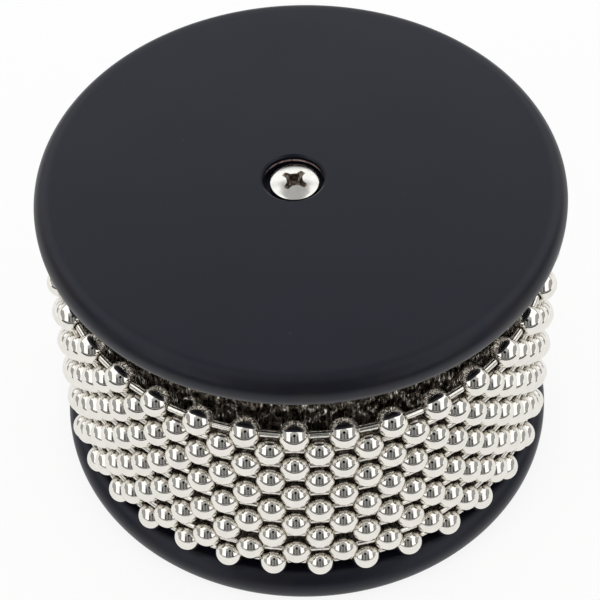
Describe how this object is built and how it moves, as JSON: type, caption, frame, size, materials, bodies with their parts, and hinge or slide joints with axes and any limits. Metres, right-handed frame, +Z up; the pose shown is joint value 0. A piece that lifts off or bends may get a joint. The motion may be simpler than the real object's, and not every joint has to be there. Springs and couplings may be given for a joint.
{
  "type": "hand cabasa",
  "caption": "Small handleless cabasa: loops of steel ball chain that spin on a textured steel sheath between two lacquered wooden discs.",
  "frame": {"origin": "centre of the bottom face of the bottom disc, on the surface that the cabasa stands on", "axes": "+Z up along the spin axis from the bottom disc to the top disc; -Y faces the picture's camera, and the seam of the sheath is at +Y"},
  "size_m": [0.088, 0.088, 0.0606],
  "materials": {
    "black_lacquer": "satin black lacquer",
    "bare_wood": "bare, sanded",
    "sheet_steel": "embossed stainless sheet",
    "zinc_steel": "bright zinc plate",
    "nickel_steel": "polished nickel plate",
    "nickel_wire": "drawn, nickel plated"
  },
  "bodies": {
    "drum": {"top_disc": "black_lacquer", "bottom_disc": "black_lacquer", "core_block": "bare_wood", "steel_sheath": "sheet_steel", "seam_tacks": "zinc_steel", "top_screw": "zinc_steel", "bottom_screw": "zinc_steel"},
    "loop_01": {"loop_01_beads": "nickel_steel", "loop_01_links": "nickel_wire"},
    "loop_02": {"loop_02_beads": "nickel_steel", "loop_02_links": "nickel_wire"},
    "loop_03": {"loop_03_beads": "nickel_steel", "loop_03_links": "nickel_wire"},
    "loop_04": {"loop_04_beads": "nickel_steel", "loop_04_links": "nickel_wire"},
    "loop_05": {"loop_05_beads": "nickel_steel", "loop_05_links": "nickel_wire"},
    "loop_06": {"loop_06_beads": "nickel_steel", "loop_06_links": "nickel_wire"},
    "loop_07": {"loop_07_beads": "nickel_steel", "loop_07_links": "nickel_wire"},
    "loop_08": {"loop_08_beads": "nickel_steel", "loop_08_links": "nickel_wire"},
    "loop_09": {"loop_09_beads": "nickel_steel", "loop_09_links": "nickel_wire"},
    "loop_10": {"loop_10_beads": "nickel_steel", "loop_10_links": "nickel_wire"}
  },
  "joints": [
    {"name": "loop_01_spin", "type": "hinge", "parent": "drum", "child": "loop_01", "pos_m": [0, 0, 0.0303], "axis": [0, 0, 1], "continuous": true},
    {"name": "loop_02_spin", "type": "hinge", "parent": "drum", "child": "loop_02", "pos_m": [0, 0, 0.0303], "axis": [0, 0, 1], "continuous": true},
    {"name": "loop_03_spin", "type": "hinge", "parent": "drum", "child": "loop_03", "pos_m": [0, 0, 0.0303], "axis": [0, 0, 1], "continuous": true},
    {"name": "loop_04_spin", "type": "hinge", "parent": "drum", "child": "loop_04", "pos_m": [0, 0, 0.0303], "axis": [0, 0, 1], "continuous": true},
    {"name": "loop_05_spin", "type": "hinge", "parent": "drum", "child": "loop_05", "pos_m": [0, 0, 0.0303], "axis": [0, 0, 1], "continuous": true},
    {"name": "loop_06_spin", "type": "hinge", "parent": "drum", "child": "loop_06", "pos_m": [0, 0, 0.0303], "axis": [0, 0, 1], "continuous": true},
    {"name": "loop_07_spin", "type": "hinge", "parent": "drum", "child": "loop_07", "pos_m": [0, 0, 0.0303], "axis": [0, 0, 1], "continuous": true},
    {"name": "loop_08_spin", "type": "hinge", "parent": "drum", "child": "loop_08", "pos_m": [0, 0, 0.0303], "axis": [0, 0, 1], "continuous": true},
    {"name": "loop_09_spin", "type": "hinge", "parent": "drum", "child": "loop_09", "pos_m": [0, 0, 0.0303], "axis": [0, 0, 1], "continuous": true},
    {"name": "loop_10_spin", "type": "hinge", "parent": "drum", "child": "loop_10", "pos_m": [0, 0, 0.0303], "axis": [0, 0, 1], "continuous": true}
  ],
  "couplings": [
    {"joint": "loop_01_spin", "follows": "loop_05_spin", "ratio": 1},
    {"joint": "loop_02_spin", "follows": "loop_05_spin", "ratio": 1},
    {"joint": "loop_03_spin", "follows": "loop_05_spin", "ratio": 1},
    {"joint": "loop_04_spin", "follows": "loop_05_spin", "ratio": 1},
    {"joint": "loop_06_spin", "follows": "loop_05_spin", "ratio": 1},
    {"joint": "loop_07_spin", "follows": "loop_05_spin", "ratio": 1},
    {"joint": "loop_08_spin", "follows": "loop_05_spin", "ratio": 1},
    {"joint": "loop_09_spin", "follows": "loop_05_spin", "ratio": 1},
    {"joint": "loop_10_spin", "follows": "loop_05_spin", "ratio": 1}
  ]
}
